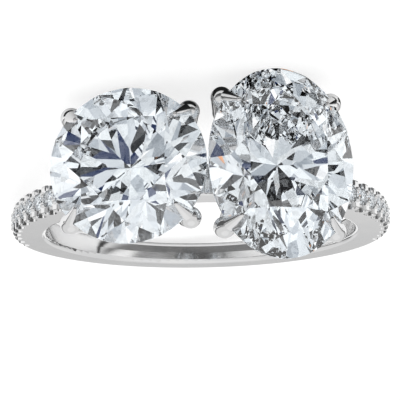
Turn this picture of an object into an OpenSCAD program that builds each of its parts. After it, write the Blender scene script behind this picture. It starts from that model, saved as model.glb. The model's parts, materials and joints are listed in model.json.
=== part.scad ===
/* [Finger hole and shank] */
// Diameter of the finger hole
finger_d = 17.3; // [15:0.1:21]
// Thickness of the shank, from the finger hole to its outer face
shank_wall = 1.84; // [1.6:0.02:2.4]
// Width of the shank at the top, under the stones
shank_w_top = 1.6; // [1.5:0.02:1.7]
// Width of the shank at the bottom, opposite the stones
shank_w_bottom = 1.3; // [1.2:0.02:1.5]
// Radius that rounds the shank's edges at the finger hole
inner_edge = 0.25; // [0.1:0.01:0.35]
// Radius that rounds the shank's outer edges
outer_edge = 0.15; // [0.06:0.01:0.2]

/* [Round stone] */
// Diameter of the round stone
round_d = 7.47; // [6:0.05:8.5]
// Lean of the round stone away from the other stone, in degrees
round_lean = 9; // [0:0.5:16]

/* [Oval stone] */
// Width of the oval stone, across the finger
oval_w = 7.08; // [5.5:0.05:8]
// Length of the oval stone, along the finger
oval_l = 9.16; // [8:0.05:11]
// Lean of the oval stone away from the other stone, in degrees
oval_lean = 15; // [0:0.5:18]
// Slope of the oval stone's pavilion across its width, in degrees
oval_pavilion = 43.4; // [40:0.1:44]

/* [Cut of the stones] */
// Width of a table, corner to corner, as a share of the stone's width
table_share = 0.57; // [0.52:0.01:0.64]
// Slope of the crown's main facets, in degrees
crown_slope = 34.5; // [30:0.5:37]
// Slope of the pavilion of the round stones, in degrees
round_pavilion = 40.9; // [38:0.1:43]
// Thickness of the girdle at its widest, as a share of the stone's half width
girdle_share = 0.06; // [0.05:0.005:0.1]

/* [Place of the stones] */
// Clearance of the lower culet above the shank
culet_gap = 0.08; // [0.04:0.02:1]
// Gap between the two girdles, seen from above
stone_gap = 0.1; // [0.06:0.02:0.6]
// Distance of that gap from the middle of the ring, towards the oval stone
gap_shift = 0.38; // [-0.5:0.02:0.8]

/* [Heads] */
// Diameter of a prong
prong_d = 1; // [0.8:0.02:1.2]
// Angle of a prong around its stone, from the line through both stones, in degrees
prong_turn = 42; // [38:1:50]
// Distance of a prong's round shoulder outside the girdle
prong_out = 0.1; // [0.05:0.01:0.25]
// Depth of a prong's round shoulder below the girdle
prong_drop = 0.55; // [0.4:0.05:0.7]
// Distance of a prong's knee inside the girdle, where it meets the gallery rail
knee_in = 0.45; // [0.35:0.05:0.7]
// Reach of a claw from the girdle over the crown
claw_reach = 0.55; // [0.4:0.05:0.8]
// Diameter of a claw at its tip
claw_tip_d = 0.26; // [0.2:0.02:0.4]
// Depth of the gallery rail below the girdle
rail_drop = 1.9; // [1.6:0.05:2.2]
// Distance of the gallery rail inside the girdle
rail_in = 1.05; // [0.9:0.05:1.15]
// Diameter of the gallery rail's wire
rail_d = 0.7; // [0.5:0.02:0.8]
// Diameter of the struts from the rail to the shank
strut_d = 0.8; // [0.6:0.02:0.9]
// Distance of a strut's foot from the middle of its head, around the ring
foot_x = 0.95; // [0.6:0.05:1.3]
// Distance of a strut's foot from the middle of its head, across the shank
foot_y = 0.3; // [0.2:0.02:0.4]

/* [Pave shoulders] */
// Diameter of a small stone
pave_d = 0.94; // [0.84:0.02:0.98]
// Distance from one small stone to the next, along the shank's outer face
pave_pitch = 1.04; // [1:0.01:1.2]
// Angle from the top of the ring to the first small stone, in degrees
pave_start = 31; // [30:0.5:38]
// Angle from the top of the ring to which the small stones run, in degrees
pave_end = 101; // [80:1:115]
// Depth of a small stone's girdle below the shank's outer face
pave_sink = 0.05; // [0.02:0.01:0.1]
// Diameter of a bead that holds two small stones
bead_d = 0.3; // [0.26:0.02:0.36]
// Hold of a bead over the edge of a small stone
bead_hold = 0.04; // [0.02:0.01:0.06]
// Width of a scallop in the shank's side, below a small stone
scallop_d = 0.74; // [0.6:0.02:0.86]
// Depth of a scallop's centre below the shank's outer face
scallop_sink = 0.1; // [0.06:0.02:0.2]
// Depth of a scallop past the edge of a small stone's seat
scallop_bite = 0.06; // [0.04:0.01:0.1]

/* [Hidden] */
$fn = 48;
// Clearance of a stone in its seat, measured at the girdle
seat_gap = 0.03;
// Depth of a strut's foot below the shank's outer face
foot_in = 0.7;

// Shares that all round and oval brilliants have in common: facets around, steps of the girdle between two
// facets, length of the star facets and of the lower half facets
mains = 8;
big_steps = 8;
small_steps = 4;
star_share = 0.5;
lower_share = 0.77;
// Angle from a stone's width to its first main facet
first_main = 22.5;

inner_r = finger_d / 2;
outer_r = inner_r + shank_wall;
mid_r = (inner_r + outer_r) / 2;
mid_w = (shank_w_top + shank_w_bottom) / 2;
taper = atan((shank_w_top - shank_w_bottom) / 2 / (2 * mid_r));

// Heights of a brilliant with a half width of 1
half_step = 180 / mains;
crown_rise = (1 - table_share) * tan(crown_slope);
star_r = table_share * cos(half_step) + star_share * (1 - table_share * cos(half_step));
star_rise = crown_rise * (1 - star_r * cos(half_step)) / (1 - table_share);
lower_r = 1 - lower_share;
function lower_rise(pavilion) = tan(pavilion) * (1 - lower_r * cos(half_step));
function culet_depth(pavilion) = girdle_share + tan(pavilion);

// Middle of each stone: its distance from the middle of the ring, and the common height of both girdles
round_x = gap_shift - stone_gap / 2 - round_d / 2 * cos(round_lean);
oval_x = gap_shift + stone_gap / 2 + oval_w / 2 * cos(oval_lean);
function clear_h(x, depth, lean) = let (culet_x = abs(x) - depth * sin(lean))
    sqrt((outer_r + culet_gap) ^ 2 - culet_x ^ 2) + depth * cos(lean);
girdle_h = max(
    clear_h(round_x, culet_depth(round_pavilion) * round_d / 2, round_lean),
    clear_h(oval_x, culet_depth(oval_pavilion) * oval_w / 2, oval_lean));

pave_angle = 180 * pave_pitch / (PI * outer_r);
pave_count = 1 + floor((pave_end - pave_start) / pave_angle);
pave_seat_r = pave_d / 2 + seat_gap;
bead_r = bead_d / 2;
bead_z = sqrt((pave_d / 2 + bead_r - bead_hold) ^ 2 - (pave_pitch / 2) ^ 2);
function pave_at(i) = pave_start + i * pave_angle;

// Half width of the shank at an angle from the top
function half_w(angle) = mid_w / 2 + outer_r * cos(angle) * tan(taper);

// Where the ring balances, from the weight of each piece in grams, lying with its finger hole upwards
gold = 0.0129;
diamond = 0.00352;
stone_fill = 0.207;
function stone_g(w, l) = diamond * stone_fill * w ^ 2 * l;
function head_g(w, l) = gold * PI / 4 * (prong_d ^ 2 * rail_drop * 4 + strut_d ^ 2 * rail_drop * 6
    + rail_d ^ 2 * PI * (w + l) / 2);
shank_g = gold * PI * (outer_r ^ 2 - inner_r ^ 2) * mid_w;
round_g = stone_g(round_d, round_d) + head_g(round_d, round_d);
oval_g = stone_g(oval_w, oval_l) + head_g(oval_w, oval_l);
ring_g = shank_g + round_g + oval_g;
head_h = girdle_h - rail_drop;
balance = -[(round_x * round_g + oval_x * oval_g) / ring_g, head_h * (round_g + oval_g) / ring_g, 0];

// The ring rests on the lower end of its longer stone and on one spot of the shank's edge, so that its middle
// of weight is above the line between the two: turn is the direction of that spot, and tilt the slope there
oval_lower = oval_l >= round_d;
low_end = [-(oval_lower ? oval_x : round_x), -girdle_h, -max(oval_l, round_d) / 2];
function aim(turn) = [cos(turn), sin(turn), 0];
function edge_z(turn) = half_w(turn + 90) - outer_edge;
function tilt_for(turn) = let (
        run = outer_r - outer_edge - low_end * aim(turn),
        rise = -low_end.z - edge_z(turn))
    acos(outer_edge / norm([run, rise])) - atan2(run, rise);
function off_balance(turn) = let (
        tilt = tilt_for(turn),
        up = [-sin(tilt) * cos(turn), -sin(tilt) * sin(turn), cos(tilt)],
        spot = aim(turn) * outer_r - [0, 0, edge_z(turn)])
    cross(low_end - spot, up) * (balance - spot);
function settle(low, high, rounds) = let (middle = (low + high) / 2)
    rounds == 0 ? middle
    : off_balance(low) * off_balance(middle) > 0 ? settle(middle, high, rounds - 1)
    : settle(low, middle, rounds - 1);
turn = settle(10, 170, 24);
tilt = tilt_for(turn);
lift = edge_z(turn) * cos(tilt) + (outer_r - outer_edge) * sin(tilt) + outer_edge;
// Farthest reach of the tables, in front of the finger hole
function table_top(w, lean) = w / 2 * (crown_rise * cos(lean) + table_share * cos(first_main) * sin(lean));
front = girdle_h + max(table_top(round_d, round_lean), table_top(oval_w, oval_lean));

// Lays the ring on a surface at z = 0, with its stones to the front
module at_rest() {
    translate([0, (front - outer_r) / 2 * cos(tilt), lift])
        rotate([0, 0, turn])
            rotate([0, tilt, 0])
                rotate([0, 0, -turn])
                    children();
}

// Places a head or a stone that is drawn with its girdle on z = 0 and its table upwards
module on_round_side() {
    translate([-round_x, -girdle_h, 0])
        rotate([90, 0, round_lean])
            children();
}

module on_oval_side() {
    translate([-oval_x, -girdle_h, 0])
        rotate([90, 0, -oval_lean])
            children();
}

// Places what is drawn at the shank's outer face with its outward direction along z
module on_shank(angle, depth = 0) {
    rotate([0, 0, angle])
        translate([0, -outer_r + depth, 0])
            rotate([90, 0, 0])
                children();
}

function ring_of(count, r, z, start) =
    [for (i = [0:count - 1]) let (a = start + 360 * i / count) [r * cos(a), r * sin(a), z]];
// Dip of the girdle's edge between two facets, where the flat facets leave the round outline
function dip(a, rise, r) = rise / (1 - r) * (cos(a - half_step / 2) / cos(half_step / 2) - 1);
function edge_of(steps, base, rise, r) =
    [for (i = [0:mains * steps - 1]) let (a = first_main + 2 * half_step * i / steps)
        [cos(a), sin(a), base + rise * dip((2 * half_step * i / steps) % half_step, 1, r)]];

// Brilliant with a half width of 1: table, stars, kites, upper halves, girdle, lower halves and pavilion
module brilliant(w, l, pavilion, steps, grow = 0) {
    girdle = mains * steps;
    points = concat(
        ring_of(mains, table_share, crown_rise, first_main),
        ring_of(mains, star_r, star_rise, first_main + half_step),
        edge_of(steps, 0, -star_rise, star_r),
        edge_of(steps, -girdle_share, lower_rise(pavilion), lower_r),
        ring_of(mains, lower_r, -girdle_share - lower_rise(pavilion), first_main + half_step),
        [[0, 0, -culet_depth(pavilion)]]);
    star = mains;
    top = star + mains;
    under = top + girdle;
    lower = under + girdle;
    culet = lower + mains;
    half = steps / 2;
    next = [for (k = [0:mains - 1]) (k + 1) % mains];
    last = [for (k = [0:mains - 1]) (k + mains - 1) % mains];
    faces = concat(
        [[for (k = [mains - 1:-1:0]) k]],
        [for (k = [0:mains - 1]) [next[k], star + k, k]],
        [for (k = [0:mains - 1]) [star + k, top + k * steps, star + last[k], k]],
        [for (k = [0:mains - 1], side = [0, 1])
            concat([for (j = [half:-1:0]) top + (k * steps + side * half + j) % girdle], [star + k])],
        [for (j = [0:girdle - 1]) [top + j, top + (j + 1) % girdle, under + (j + 1) % girdle, under + j]],
        [for (k = [0:mains - 1], side = [0, 1])
            concat([lower + k], [for (j = [0:half]) under + (k * steps + side * half + j) % girdle])],
        [for (k = [0:mains - 1]) [lower + last[k], under + k * steps, lower + k, culet]]);
    size = [w / 2 + grow, l / 2 + grow, w / 2 + grow];
    polyhedron([for (p = points) [p.x * size.x, p.y * size.y, p.z * size.z]], faces, convexity = 2);
}

// What is cut from a corner to round it
module corner(r) {
    difference() {
        square(2 * r, center = true);
        translate([r, -r])
            circle(r);
    }
}

// One half of the shank, from its middle plane to one side face
module shank_half() {
    reach = outer_r + shank_wall;
    intersection() {
        rotate([-taper, 0, 0])
            rotate_extrude()
                difference() {
                    translate([inner_r, -mid_w / 2])
                        square([shank_wall, mid_w]);
                    translate([inner_r, mid_w / 2])
                        corner(inner_edge);
                    translate([outer_r, mid_w / 2])
                        mirror([1, 0])
                            corner(outer_edge);
                }
        translate([-reach, -reach, 0])
            cube([2 * reach, 2 * reach, mid_w]);
    }
}

module shank() {
    shank_half();
    mirror([0, 0, 1])
        shank_half();
}

// Straight rod from one point to another
module rod(from, to, d_from, d_to) {
    run = to - from;
    translate(from)
        rotate([0, acos(run.z / norm(run)), atan2(run.y, run.x)])
            cylinder(h = norm(run), d1 = d_from, d2 = d_to);
}

// Point of the girdle that a prong holds, and the direction straight out from there
function grip(w, l) = [w / 2 * cos(prong_turn), l / 2 * sin(prong_turn), 0];
function outward(w, l) = let (n = [cos(prong_turn) / w, sin(prong_turn) / l, 0]) n / norm(n);
function prong_point(w, l, out, z) = grip(w, l) + outward(w, l) * out + [0, 0, z];
// Height of the crown above a point inside the girdle
function crown_z(w, l, p) = let (r = norm([p.x * 2 / w, p.y * 2 / l])) w / 2 * star_rise * (1 - r) / (1 - star_r);
// Distance from the middle of a girdle down to the shank's outer face
function drop_to_shank(x, lean) = let (along = abs(x) * sin(lean) + girdle_h * cos(lean))
    along - sqrt(outer_r ^ 2 - (x ^ 2 + girdle_h ^ 2 - along ^ 2));

module prong(w, l, foot_drop) {
    shoulder = prong_point(w, l, prong_out, -prong_drop);
    knee = prong_point(w, l, -knee_in, -rail_drop);
    flat_tip = prong_point(w, l, -claw_reach, 0);
    tip = flat_tip + [0, 0, crown_z(w, l, flat_tip) + claw_tip_d / 4];
    rod(knee, shoulder, prong_d, prong_d);
    rod(knee, [foot_x, foot_y, -foot_drop], strut_d, strut_d);
    rod(shoulder, tip, 0.94 * prong_d, claw_tip_d);
    translate(shoulder)
        sphere(d = 1.03 * prong_d);
    translate(knee)
        sphere(d = 1.03 * prong_d);
    translate(tip)
        sphere(d = 1.05 * claw_tip_d);
}

// Arc of wire from beside one prong to its mirror image, through a point halfway between them
module rail_arc(half_chord, chord_at, peak_at) {
    centre = (peak_at ^ 2 - half_chord ^ 2 - chord_at ^ 2) / (2 * (peak_at - chord_at));
    spread = atan2(half_chord, chord_at - centre);
    translate([centre, 0, 0])
        rotate([0, 0, -spread])
            rotate_extrude(angle = 2 * spread)
                translate([peak_at - centre, 0])
                    circle(d = rail_d);
}

module head(w, l, pavilion, x, lean) {
    bend = prong_point(w, l, -rail_in, -rail_drop);
    foot_drop = drop_to_shank(x, lean) + foot_in;
    difference() {
        union() {
            for (turned = [0, 1], flipped = [0, 1])
                mirror([turned, 0, 0])
                    mirror([0, flipped, 0])
                        prong(w, l, foot_drop);
            translate([0, 0, -rail_drop])
                for (half_turn = [0, 180]) {
                    rotate([0, 0, half_turn])
                        rail_arc(bend.y, bend.x, w / 2 - rail_in);
                    rotate([0, 0, half_turn + 90])
                        rail_arc(bend.x, bend.y, l / 2 - rail_in);
                }
        }
        brilliant(w, l, pavilion, big_steps, grow = seat_gap);
    }
}

// Seat of a small stone, turned like the burr that cuts it: along the pavilion up to the girdle, then over the
// crown, or straight up where the metal is opened for the stone
module pave_seat(open) {
    girdle_z = girdle_share * pave_d / 2;
    crown_top = crown_rise * pave_d / 2 + seat_gap;
    rotate_extrude()
        polygon([
            [0, -culet_depth(round_pavilion) * pave_d / 2 - seat_gap],
            [pave_seat_r, -girdle_z],
            [pave_seat_r, 0],
            [open ? pave_seat_r : star_r * pave_seat_r, open ? crown_top : star_rise * pave_d / 2 + seat_gap],
            [open ? pave_seat_r : table_share * pave_seat_r, open ? bead_d : crown_top],
            [0, open ? bead_d : crown_top]]);
}

module scallop_pair(angle) {
    inner_z = pave_seat_r - scallop_bite;
    for (flipped = [0, 1])
        mirror([0, 0, flipped])
            rotate([0, 0, angle])
                translate([0, -outer_r + scallop_sink, inner_z])
                    cylinder(h = mid_w, d = scallop_d);
}

module bead_pair(angle) {
    for (side = [-1, 1])
        on_shank(angle)
            translate([0, side * bead_z, 0])
                sphere(bead_r);
}

module ring_mount() {
    color("gainsboro")
        at_rest()
            difference() {
                union() {
                    difference() {
                        shank();
                        for (side = [-1, 1], i = [0:pave_count - 1]) {
                            on_shank(side * pave_at(i), pave_sink)
                                pave_seat(open = true);
                            scallop_pair(side * pave_at(i));
                        }
                    }
                    for (side = [-1, 1], i = [0:pave_count])
                        bead_pair(side * (pave_at(i) - pave_angle / 2));
                    on_round_side()
                        head(round_d, round_d, round_pavilion, round_x, round_lean);
                    on_oval_side()
                        head(oval_w, oval_l, oval_pavilion, oval_x, oval_lean);
                }
                for (side = [-1, 1], i = [0:pave_count - 1])
                    on_shank(side * pave_at(i), pave_sink)
                        pave_seat(open = false);
            }
}

module round_stone() {
    color("azure")
        at_rest()
            on_round_side()
                brilliant(round_d, round_d, round_pavilion, big_steps);
}

module oval_stone() {
    color("aliceblue")
        at_rest()
            on_oval_side()
                brilliant(oval_w, oval_l, oval_pavilion, big_steps);
}

module pave_stone(angle) {
    color("lightcyan")
        at_rest()
            on_shank(angle, pave_sink)
                brilliant(pave_d, pave_d, round_pavilion, small_steps);
}

ring_mount();
round_stone();
oval_stone();
for (i = [1:pave_count]) {
    pave_stone(pave_at(i - 1));
    pave_stone(-pave_at(i - 1));
}
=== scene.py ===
import json
import math

import bmesh
import bpy
from mathutils import Matrix, Vector

# One millimetre in metres; the sizes below are in millimetres
MM = 0.001

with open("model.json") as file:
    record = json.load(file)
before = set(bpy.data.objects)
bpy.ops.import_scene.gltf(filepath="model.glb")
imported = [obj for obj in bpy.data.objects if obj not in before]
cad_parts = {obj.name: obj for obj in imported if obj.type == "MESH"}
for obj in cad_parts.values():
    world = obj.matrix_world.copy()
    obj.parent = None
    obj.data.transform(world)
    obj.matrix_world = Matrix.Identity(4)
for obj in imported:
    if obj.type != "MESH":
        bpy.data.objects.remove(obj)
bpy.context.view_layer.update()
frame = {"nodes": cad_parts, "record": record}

scene = bpy.context.scene
nodes = frame["nodes"]
finger = next(m for m in frame["record"]["mounts"] if m["name"] == "finger")
ring_centre = Vector(finger["pos_m"])
finger_axis = Vector(finger["axis"]).normalized()


# ---- Building node trees ----


class Nodes:
    """A node tree under construction, with short ways to add, set and join its nodes."""

    def __init__(self, tree):
        self.tree = tree
        self.tree.nodes.clear()

    def add(self, kind, settings=None, values=None):
        node = self.tree.nodes.new(kind)
        for name, setting in (settings or {}).items():
            setattr(node, name, setting)
        for name, value in (values or {}).items():
            node.inputs[name].default_value = value
        return node

    def join(self, source, output, target, socket):
        self.tree.links.new(source.outputs[output], target.inputs[socket])

    def ramp(self, source, output, stops, interpolation="LINEAR"):
        """A colour ramp on one output, from (position, colour) stops."""
        ramp = self.add("ShaderNodeValToRGB")
        ramp.color_ramp.interpolation = interpolation
        while len(ramp.color_ramp.elements) < len(stops):
            ramp.color_ramp.elements.new(0.5)
        for element, (position, colour) in zip(ramp.color_ramp.elements, stops):
            element.position = position
            element.color = (*colour, 1)
        self.join(source, output, ramp, "Fac")
        return ramp

    def object_place(self, per_mm, stretch=(1, 1, 1)):
        """Object coordinates for a texture that repeats about per_mm times in a millimetre."""
        place = self.add("ShaderNodeTexCoord")
        scaled = self.add("ShaderNodeMapping")
        scaled.inputs["Scale"].default_value = [per_mm / MM * s for s in stretch]
        self.join(place, "Object", scaled, "Vector")
        return scaled

    def noise(self, per_mm, detail=3.0, stretch=(1, 1, 1)):
        noise = self.add("ShaderNodeTexNoise", values={"Scale": 1.0, "Detail": detail})
        self.join(self.object_place(per_mm, stretch), "Vector", noise, "Vector")
        return noise

    def mottle(self, noise, colours):
        """Two colours mixed by a noise, over the range in which most of its values lie."""
        return self.ramp(noise, "Fac", list(zip((0.3, 0.7), colours)))

    def patches(self, vectors, output, scale, stops):
        """Flat patches of random size, each with one of the ramp's colours."""
        cells = self.add("ShaderNodeTexVoronoi", values={"Scale": scale})
        self.join(vectors, output, cells, "Vector")
        channels = self.add("ShaderNodeSeparateColor")
        self.join(cells, "Color", channels, "Color")
        return self.ramp(channels, "Red", stops, "CONSTANT")


def new_material(name):
    material = bpy.data.materials.new(name)
    material.use_nodes = True
    surface = Nodes(material.node_tree)
    surface.shader = surface.add("ShaderNodeBsdfPrincipled")
    output = surface.add("ShaderNodeOutputMaterial")
    surface.join(surface.shader, "BSDF", output, "Surface")
    return material, surface


def grey(value):
    return (value, value, value)


# ---- The ring's metal and its stones ----

# White gold: its haze and the buff's hairlines, this many in a millimetre, and the ripple that they leave
GOLD_TONES = (0.865, 0.868, 0.875), (0.915, 0.914, 0.912)
HAZE_PER_MM = 0.5
HAIRLINES_PER_MM = 2.0
HAIRLINES_DETAIL = 5.0
HAIRLINES_STRETCH = (1, 1, 12)
HAIRLINES_GLOSS = [(0.35, grey(0.06)), (0.7, grey(0.09))]
RIPPLE = {"Strength": 0.02, "Distance": 0.01 * MM}

# Diamond: its two tones in a main and in a small stone, and the clouds of them, this many in a millimetre
DIAMOND_INDEX = 2.417
CLEAR = (0.985, 0.992, 1.0)
MAIN_TONES = (0.965, 0.98, 1.0), CLEAR
MAIN_CLOUDS_PER_MM = 0.3
SMALL_TONES = (0.97, 0.985, 1.0), CLEAR
SMALL_CLOUDS_PER_MM = 1.5
CLOUDS_DETAIL = 2.0


def white_gold():
    """Rhodium-plated white gold, mirror polished: faint haze, the buff's hairlines and a trace of ripple."""
    material, surface = new_material("white_gold_polished")
    surface.shader.inputs["Metallic"].default_value = 1.0
    tone = surface.mottle(surface.noise(HAZE_PER_MM), GOLD_TONES)
    surface.join(tone, "Color", surface.shader, "Base Color")
    hairlines = surface.noise(HAIRLINES_PER_MM, HAIRLINES_DETAIL, HAIRLINES_STRETCH)
    gloss = surface.ramp(hairlines, "Fac", HAIRLINES_GLOSS)
    surface.join(gloss, "Color", surface.shader, "Roughness")
    ripple = surface.add("ShaderNodeBump", values=RIPPLE)
    surface.join(hairlines, "Fac", ripple, "Height")
    surface.join(ripple, "Normal", surface.shader, "Normal")
    return material


def diamond(name, tones, clouds_per_mm):
    """Diamond: clear, of high index, its near-colourless body varying a little through the stone."""
    material, surface = new_material(name)
    surface.shader.inputs["Roughness"].default_value = 0.0
    surface.shader.inputs["IOR"].default_value = DIAMOND_INDEX
    surface.shader.inputs["Transmission Weight"].default_value = 1.0
    tone = surface.mottle(surface.noise(clouds_per_mm, CLOUDS_DETAIL), tones)
    surface.join(tone, "Color", surface.shader, "Base Color")
    return material


def dress(pieces, material):
    for piece in pieces:
        piece.data.materials.clear()
        piece.data.materials.append(material)


dress([nodes["ring_mount"]], white_gold())
dress([nodes["round_stone"], nodes["oval_stone"]], diamond("diamond_main", MAIN_TONES, MAIN_CLOUDS_PER_MM))
pave_stones = [nodes[name] for name in sorted(nodes) if name.startswith("pave_")]
dress(pave_stones, diamond("diamond_small", SMALL_TONES, SMALL_CLOUDS_PER_MM))


# ---- Camera ----

# The photo looks at the tables of the stones, its line of sight this far off the plane of the shank and its
# picture turned by this much. The ring rests on the side that is uppermost in the photo, so the camera
# looks from above the floor and hangs upside down.
TIP = math.radians(13.09)
ROLL = math.radians(1.04)
DISTANCE = 75.0
PICTURE_PIXELS = 400
FOCAL_PIXELS = 1325.25
# Place of the ring's centre in the picture, to the right of its middle and above it
CENTRE_RIGHT = 0.01
CENTRE_UP = -1.36
SENSOR_WIDTH = 36
NEAREST_SEEN = 1
FARTHEST_SEEN = 10000


def photo_axes():
    """The photo's right, up and towards the viewer in the frame, with the shank's plane seen edge on."""
    lay = Vector((0, 0, 1)).rotation_difference(finger_axis)
    return lay @ Vector((-1, 0, 0)), -finger_axis, lay @ Vector((0, -1, 0))


def add_camera():
    right, up, front = photo_axes()
    view_up = math.cos(TIP) * up + math.sin(TIP) * front
    back = math.cos(TIP) * front - math.sin(TIP) * up
    place = ring_centre + (DISTANCE * back - CENTRE_RIGHT * right - CENTRE_UP * view_up) * MM
    turned_right = math.cos(ROLL) * right - math.sin(ROLL) * view_up
    turned_up = math.sin(ROLL) * right + math.cos(ROLL) * view_up
    data = bpy.data.cameras.new("camera")
    data.sensor_width = SENSOR_WIDTH
    data.lens = FOCAL_PIXELS / PICTURE_PIXELS * SENSOR_WIDTH
    data.clip_start = NEAREST_SEEN * MM
    data.clip_end = FARTHEST_SEEN * MM
    camera = bpy.data.objects.new("camera", data)
    scene.collection.objects.link(camera)
    turn = Matrix((turned_right, turned_up, back)).transposed().to_4x4()
    camera.matrix_world = Matrix.Translation(place) @ turn
    scene.camera = camera


add_camera()


# ---- The light table and the cards on it ----

# Each board has its nearest left and its farthest right corner. They lie on each other with this step.
LAYER = 0.01
WHOLE_TABLE = (-1500, -1500), (1500, 1500)
CARD_FRONT = (-60, -120), (60, -15)
STRIP_ROUND = (5, -12.8), (9.5, -11.2)
STRIP_OVAL = (-13, -10.2), (-8.2, -8.6)

BOARD_ROUGHNESS = 0.8
# The two tones of each board's faint unevenness, and how many times it repeats in a millimetre
FLOOR_TONES = 0.24, 0.26
FLOOR_GLOW = 0.78
PALE_TONES = 0.73, 0.77
TABLE_PER_MM = 0.02
STRIP_TONES = 0.025, 0.035
STRIP_PER_MM = 0.2
FRONT_TONES = 0.09, 0.11
FRONT_PER_MM = 0.05

# What the stones see of the table: dark, middle and pale patches, this many in a millimetre
TABLE_PATCHES_PER_MM = 0.16
TABLE_PATCHES = [
    (0.0, (0.002, 0.003, 0.005)),
    (0.17, (0.02, 0.03, 0.06)),
    (0.22, (0.5, 0.54, 0.58)),
    (0.38, (0.88, 0.92, 0.94)),
]

# Tones of the card under the ring, by their place in millimetres from its edge nearest the camera to the
# farthest one: a dark strip below the claws, then the dark middle, a soft end and a dark line
CARD_TONES = [
    (-15.0, 0.75),
    (-13.2, 0.75),
    (-13.0, 0.03),
    (-11.4, 0.03),
    (-11.2, 0.75),
    (-9.5, 0.75),
    (-9.0, 0.2),
    (5.0, 0.2),
    (6.4, 0.5),
    (7.2, 0.7),
    (7.3, 0.03),
    (7.7, 0.03),
    (7.8, 0.75),
    (8.0, 0.75),
]
CARD_UNDER = (-12, CARD_TONES[0][0]), (4, CARD_TONES[-1][0])


def board(name, low, high, layer, rays, material):
    """A flat board on the floor, seen only by the given kinds of ray."""
    low, high = Vector((*low, layer * LAYER)) * MM, Vector((*high, layer * LAYER)) * MM
    sheet = bmesh.new()
    bmesh.ops.create_grid(sheet, x_segments=1, y_segments=1, size=0.5)
    bmesh.ops.scale(sheet, vec=(high.x - low.x, high.y - low.y, 1), verts=sheet.verts)
    bmesh.ops.translate(sheet, vec=(low + high) / 2, verts=sheet.verts)
    mesh = bpy.data.meshes.new(name)
    sheet.to_mesh(mesh)
    sheet.free()
    mesh.materials.append(material)
    piece = bpy.data.objects.new(name, mesh)
    scene.collection.objects.link(piece)
    for ray in ("camera", "diffuse", "glossy", "transmission"):
        setattr(piece, "visible_" + ray, ray in rays)
    piece.visible_shadow = "camera" in rays


def matte(name):
    """A matte material for a board, which still needs its colour."""
    material, surface = new_material(name)
    surface.shader.inputs["Roughness"].default_value = BOARD_ROUGHNESS
    surface.shader.inputs["Specular IOR Level"].default_value = 0.0
    return material, surface


def uneven(name, tones, per_mm, glow=0.0):
    """Matte board with a faint unevenness, and a glow of its own where it is lit from below."""
    material, surface = matte(name)
    surface.shader.inputs["Emission Color"].default_value = (1, 1, 1, 1)
    surface.shader.inputs["Emission Strength"].default_value = glow
    tone = surface.mottle(surface.noise(per_mm), [grey(value) for value in tones])
    surface.join(tone, "Color", surface.shader, "Base Color")
    return material


def banded(name, tones):
    """Matte card with bands of grey along its depth."""
    material, surface = matte(name)
    near, far = tones[0][0], tones[-1][0]
    place = surface.add("ShaderNodeTexCoord")
    depth = surface.add("ShaderNodeSeparateXYZ")
    surface.join(place, "Object", depth, "Vector")
    share = surface.add("ShaderNodeMapRange", values={"From Min": near * MM, "From Max": far * MM})
    surface.join(depth, "Y", share, "Value")
    stops = [((y - near) / (far - near), grey(tone)) for y, tone in tones]
    bands = surface.ramp(share, "Result", stops)
    surface.join(bands, "Color", surface.shader, "Base Color")
    return material


def patched(name):
    """Card with the patches that the stones see."""
    material, surface = matte(name)
    place = surface.add("ShaderNodeTexCoord")
    tone = surface.patches(place, "Object", TABLE_PATCHES_PER_MM / MM, TABLE_PATCHES)
    surface.join(tone, "Color", surface.shader, "Base Color")
    return material


light_table = uneven("light_table", FLOOR_TONES, TABLE_PER_MM, glow=FLOOR_GLOW)
board("floor", *WHOLE_TABLE, 0, ("camera", "diffuse"), light_table)
board("floor_in_stones", *WHOLE_TABLE, 1, ("transmission",), patched("patched_card"))

# What the metal sees: a pale table, a card under the ring and one in front of it, and two dark strips whose
# mirror images are the dark arcs in the claws
in_metal = ("glossy",)
board("floor_in_metal", *WHOLE_TABLE, 1, in_metal, uneven("pale_card", PALE_TONES, TABLE_PER_MM))
board("card_under", *CARD_UNDER, 2, in_metal, banded("banded_card", CARD_TONES))
board("card_front", *CARD_FRONT, 2, in_metal, uneven("dark_card_front", FRONT_TONES, FRONT_PER_MM))
board("strip_round", *STRIP_ROUND, 2, in_metal, uneven("dark_strip_round", STRIP_TONES, STRIP_PER_MM))
board("strip_oval", *STRIP_OVAL, 3, in_metal, uneven("dark_strip_oval", STRIP_TONES, STRIP_PER_MM))


# ---- Light ----

# The soft light around the table, as the camera and the floor see it
SKY_OPEN = 1.0
SKY_ON_FLOOR = 1.3
# What the metal sees of it by height, dark at the horizon except behind the ring, where the height counts for
# more than it is
SKY_IN_METAL = [
    (0.0, grey(0.06)),
    (0.07, grey(0.06)),
    (0.13, grey(0.6)),
    (0.23, grey(0.6)),
    (0.3, grey(0.78)),
    (0.78, grey(0.76)),
    (0.9, grey(0.86)),
]
PALE_BEHIND = {"From Min": 0.92, "From Max": 0.97, "To Min": 0.0, "To Max": 0.2}
# What the stones see of it: patches from dark to bright and a few warm ones, so that their facets sparkle
SKY_PATCHES_SCALE = 4.0
SKY_PATCHES = [
    (0.0, (0.002, 0.003, 0.005)),
    (0.15, (0.015, 0.04, 0.14)),
    (0.19, (0.5, 0.55, 0.6)),
    (0.31, (0.84, 0.89, 0.93)),
    (0.52, (0.99, 1.03, 1.05)),
    (0.905, (1.1, 0.5, 0.2)),
    (0.92, grey(1.35)),
]

SOFTBOX_PLACE = (0, -40, 260)
SOFTBOX_SIZE = (260, 200)
SOFTBOX_WATTS = 0.05


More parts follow.
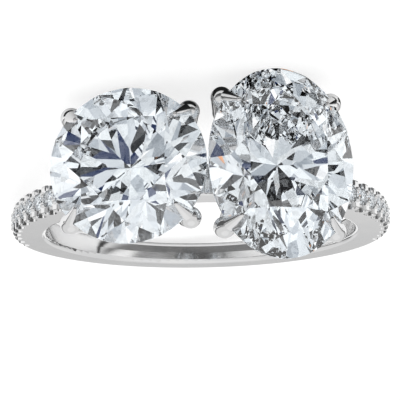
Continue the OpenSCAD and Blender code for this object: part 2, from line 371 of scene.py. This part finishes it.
def add_sky():
    world = bpy.data.worlds.new("studio")
    world.use_nodes = True
    scene.world = world
    sky = Nodes(world.node_tree)
    way = sky.add("ShaderNodeTexCoord")
    height = sky.add("ShaderNodeSeparateXYZ")
    sky.join(way, "Generated", height, "Vector")
    behind = sky.add("ShaderNodeMapRange", values=PALE_BEHIND)
    sky.join(height, "Y", behind, "Value")
    raised = sky.add("ShaderNodeMath", {"operation": "ADD"})
    sky.join(height, "Z", raised, 0)
    sky.join(behind, "Result", raised, 1)
    seen = sky.add("ShaderNodeRGB")
    seen.outputs["Color"].default_value = (*grey(SKY_OPEN), 1)
    on_floor = sky.add("ShaderNodeRGB")
    on_floor.outputs["Color"].default_value = (*grey(SKY_ON_FLOOR), 1)
    for_metal = sky.ramp(raised, "Value", SKY_IN_METAL)
    for_stones = sky.patches(way, "Generated", SKY_PATCHES_SCALE, SKY_PATCHES)
    ray = sky.add("ShaderNodeLightPath")
    last, output = seen, "Color"
    for source, kind in ((on_floor, "Diffuse"), (for_metal, "Glossy"), (for_stones, "Transmission")):
        choice = sky.add("ShaderNodeMix", {"data_type": "RGBA"})
        sky.join(ray, f"Is {kind} Ray", choice, "Factor")
        sky.join(last, output, choice, "A")
        sky.join(source, "Color", choice, "B")
        last, output = choice, "Result"
    background = sky.add("ShaderNodeBackground")
    sky.join(last, output, background, "Color")
    world_output = sky.add("ShaderNodeOutputWorld")
    sky.join(background, "Background", world_output, "Surface")


def add_softbox():
    """A soft area light aimed at the ring, seen neither in the metal nor in the stones."""
    data = bpy.data.lights.new("softbox_top", "AREA")
    data.shape = "RECTANGLE"
    data.size, data.size_y = (side * MM for side in SOFTBOX_SIZE)
    data.energy = SOFTBOX_WATTS
    light = bpy.data.objects.new("softbox_top", data)
    scene.collection.objects.link(light)
    light.location = Vector(SOFTBOX_PLACE) * MM
    light.rotation_mode = "QUATERNION"
    light.rotation_quaternion = (-light.location).to_track_quat("-Z", "Y")
    light.visible_glossy = False
    light.visible_transmission = False


add_sky()
add_softbox()

# Enough bounces for light to find its way through a cut stone
scene.cycles.max_bounces = 24
scene.cycles.transmission_bounces = 24
scene.cycles.glossy_bounces = 16
# Deepens the middle greys as in the photo, and leaves black and white alone
scene.view_settings.view_transform = "Standard"
scene.view_settings.gamma = 0.88
